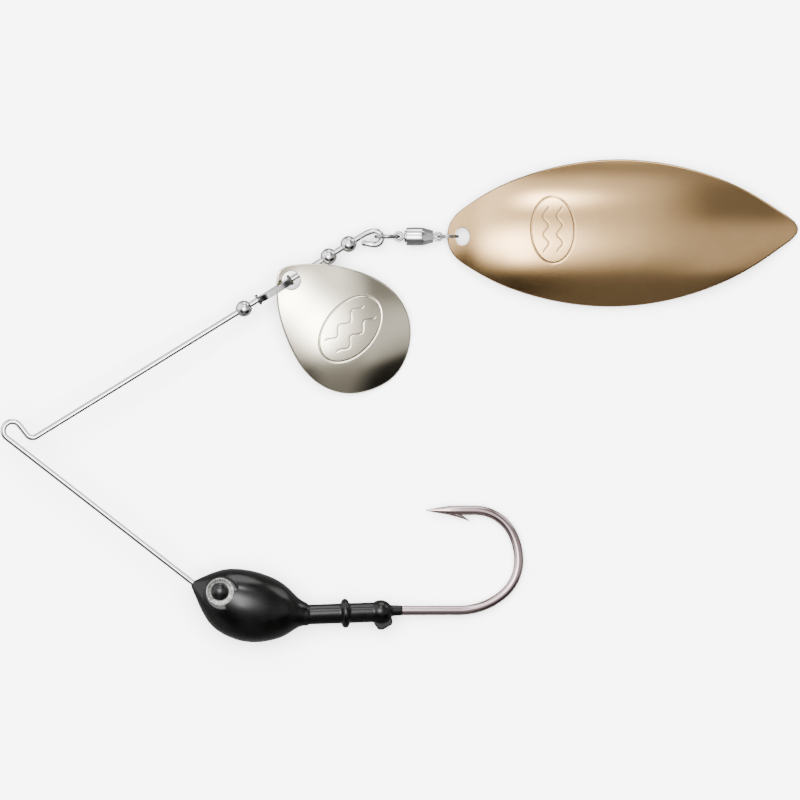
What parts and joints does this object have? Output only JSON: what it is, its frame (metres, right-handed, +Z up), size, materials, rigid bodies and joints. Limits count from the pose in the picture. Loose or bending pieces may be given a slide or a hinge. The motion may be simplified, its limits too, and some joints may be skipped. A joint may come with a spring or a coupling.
{
  "type": "spinnerbait",
  "caption": "Spinnerbait lure with a bent wire frame, lead head and hook, a round blade on a clevis and a long leaf blade on a ball-bearing swivel.",
  "frame": {"origin": "centre of the line tie, the small bend in the wire that the fishing line is knotted to", "axes": "lying on its side on a table: +X back from the line tie towards the long blade, +Y from the lead head towards the blades, +Z up from the table"},
  "size_m": [0.1276, 0.0772, 0.0102],
  "materials": {
    "stainless_wire": "bright drawn stainless wire",
    "polished_steel": "polished nickel-plated steel",
    "chrome_plate": "bright plated brass",
    "nickel_plate": "warm polished nickel plate",
    "copper_plate": "polished copper-gold plate",
    "black_nickel": "black nickel plate",
    "gloss_black_paint": "glossy baked powder paint over lead",
    "silver_foil": "creased silver foil",
    "black_pupil": "glossy domed resin"
  },
  "bodies": {
    "frame": {"wire_frame": "stainless_wire", "hook": "black_nickel", "head": "gloss_black_paint", "eye_foil_left": "silver_foil", "eye_foil_right": "silver_foil", "eye_pupil_left": "black_pupil", "eye_pupil_right": "black_pupil", "bead_lower": "polished_steel"},
    "middle_bead": {"bead_middle": "polished_steel"},
    "upper_bead": {"bead_upper": "polished_steel"},
    "clevis": {"clevis": "polished_steel"},
    "colorado": {"colorado_blade": "nickel_plate"},
    "front_ring": {"ring_front": "polished_steel"},
    "post": {"swivel_post": "polished_steel"},
    "ball_set": {"swivel_balls": "polished_steel"},
    "barrel": {"swivel_barrel": "chrome_plate", "swivel_bushing": "polished_steel", "swivel_fixed_eye": "polished_steel"},
    "rear_ring": {"ring_rear": "polished_steel"},
    "willow": {"willow_blade": "copper_plate"}
  },
  "joints": [
    {"name": "bead_middle_slide", "type": "slide", "parent": "frame", "child": "middle_bead", "axis": [0.8479, 0.5239, -0.0814], "range_m": [-0.0001, 0.001]},
    {"name": "bead_upper_slide", "type": "slide", "parent": "frame", "child": "upper_bead", "axis": [0.8479, 0.5239, -0.0814], "range_m": [-0.001, 0.0009]},
    {"name": "clevis_spin", "type": "hinge", "parent": "frame", "child": "clevis", "pos_m": [0.04433, 0.0241, -0.00421], "axis": [0.8479, 0.5239, -0.0814], "continuous": true},
    {"name": "colorado_flap", "type": "hinge", "parent": "clevis", "child": "colorado", "pos_m": [0.04266, 0.02291, -0.00284], "axis": [0.5149, -0.8502, -0.1094], "range_deg": [0, 120]},
    {"name": "ring_front_turn", "type": "hinge", "parent": "frame", "child": "front_ring", "pos_m": [0.05985, 0.03108, -0.00555], "axis": [0, 1, 0], "range_deg": [-60, 60]},
    {"name": "post_swing", "type": "hinge", "parent": "front_ring", "child": "post", "pos_m": [0.06165, 0.03108, -0.00555], "axis": [0, 0, 1], "range_deg": [-50, 50]},
    {"name": "swivel_spin", "type": "hinge", "parent": "post", "child": "barrel", "pos_m": [0.0638, 0.03108, -0.00555], "axis": [1, 0, 0], "continuous": true},
    {"name": "ball_orbit", "type": "hinge", "parent": "post", "child": "ball_set", "pos_m": [0.0638, 0.03108, -0.00555], "axis": [1, 0, 0], "continuous": true},
    {"name": "ring_rear_turn", "type": "hinge", "parent": "barrel", "child": "rear_ring", "pos_m": [0.06955, 0.03108, -0.00555], "axis": [0, 1, 0], "range_deg": [-60, 60]},
    {"name": "willow_swing", "type": "hinge", "parent": "rear_ring", "child": "willow", "pos_m": [0.07112, 0.03108, -0.00555], "axis": [0, 0, 1], "range_deg": [-35, 35]}
  ],
  "couplings": [
    {"joint": "ball_orbit", "follows": "swivel_spin", "ratio": 0.5}
  ]
}
